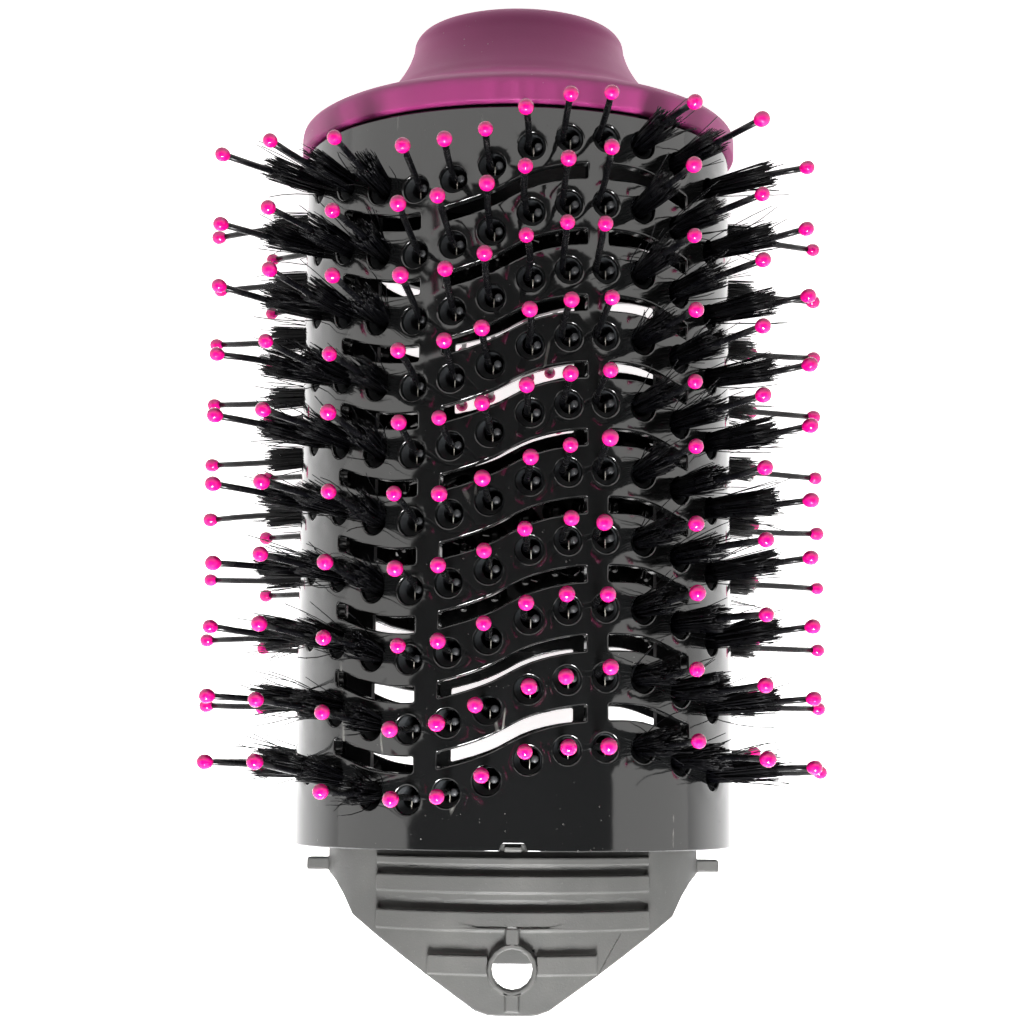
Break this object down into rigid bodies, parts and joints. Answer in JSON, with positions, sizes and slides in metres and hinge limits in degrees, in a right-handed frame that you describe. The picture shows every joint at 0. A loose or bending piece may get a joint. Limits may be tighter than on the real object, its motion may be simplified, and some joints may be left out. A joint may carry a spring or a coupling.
{
  "type": "hot air brush",
  "caption": "Detached oval head of a hot air brush: vented barrel with ball-tipped pins and tufts, soft-touch end cap, plug-in mount frame and snap latches.",
  "frame": {"origin": "under the middle of the whole head's box, on the surface it lies on, which the ball tips of the back bristles touch", "axes": "+Y runs up the barrel to the end cap, +Z is the front face's normal, +X is to the right seen from the front"},
  "size_m": [0.1082, 0.1592, 0.108],
  "materials": {
    "black_gloss_shell": "glossy moulded plastic with fine dust and hairline scratches",
    "black_nylon_bristle": "smooth nylon filament",
    "pink_ball_tip": "glossy dipped ball",
    "plum_soft_touch": "soft-touch satin",
    "charcoal_frame": "fine matte moulding texture",
    "black_inner": "matte moulded plastic",
    "steel_screw": "bright zinc plate"
  },
  "bodies": {
    "head": {"barrel_front_shell": "black_gloss_shell", "barrel_back_shell": "black_gloss_shell", "end_cap": "plum_soft_touch", "cap_plate": "black_inner", "cap_screw_left": "steel_screw", "cap_screw_right": "steel_screw", "mount_frame": "charcoal_frame", "left_rail": "charcoal_frame", "right_rail": "charcoal_frame", "front_bristle_row_01": "black_nylon_bristle", "front_bristle_row_02": "black_nylon_bristle", "front_bristle_row_03": "black_nylon_bristle", "front_bristle_row_04": "black_nylon_bristle", "front_bristle_row_05": "black_nylon_bristle", "front_bristle_row_06": "black_nylon_bristle", "front_bristle_row_07": "black_nylon_bristle", "front_bristle_row_08": "black_nylon_bristle", "front_bristle_row_09": "black_nylon_bristle", "front_bristle_row_10": "black_nylon_bristle", "back_bristle_row_01": "black_nylon_bristle", "back_bristle_row_02": "black_nylon_bristle", "back_bristle_row_03": "black_nylon_bristle", "back_bristle_row_04": "black_nylon_bristle", "back_bristle_row_05": "black_nylon_bristle", "back_bristle_row_06": "black_nylon_bristle", "back_bristle_row_07": "black_nylon_bristle", "back_bristle_row_08": "black_nylon_bristle", "back_bristle_row_09": "black_nylon_bristle", "back_bristle_row_10": "black_nylon_bristle"},
    "front_latch_leaf": {"front_latch": "charcoal_frame"},
    "back_latch_leaf": {"back_latch": "charcoal_frame"}
  },
  "joints": [
    {"name": "front_latch_flex", "type": "hinge", "parent": "head", "child": "front_latch_leaf", "pos_m": [0, -0.0495, 0.0788], "axis": [1, 0, 0], "range_deg": [0, 12], "stiffness_Nm_per_rad": 0.05, "springref_deg": -2.86},
    {"name": "back_latch_flex", "type": "hinge", "parent": "head", "child": "back_latch_leaf", "pos_m": [0, -0.0495, 0.0292], "axis": [-1, 0, 0], "range_deg": [0, 12], "stiffness_Nm_per_rad": 0.05, "springref_deg": -2.86}
  ]
}
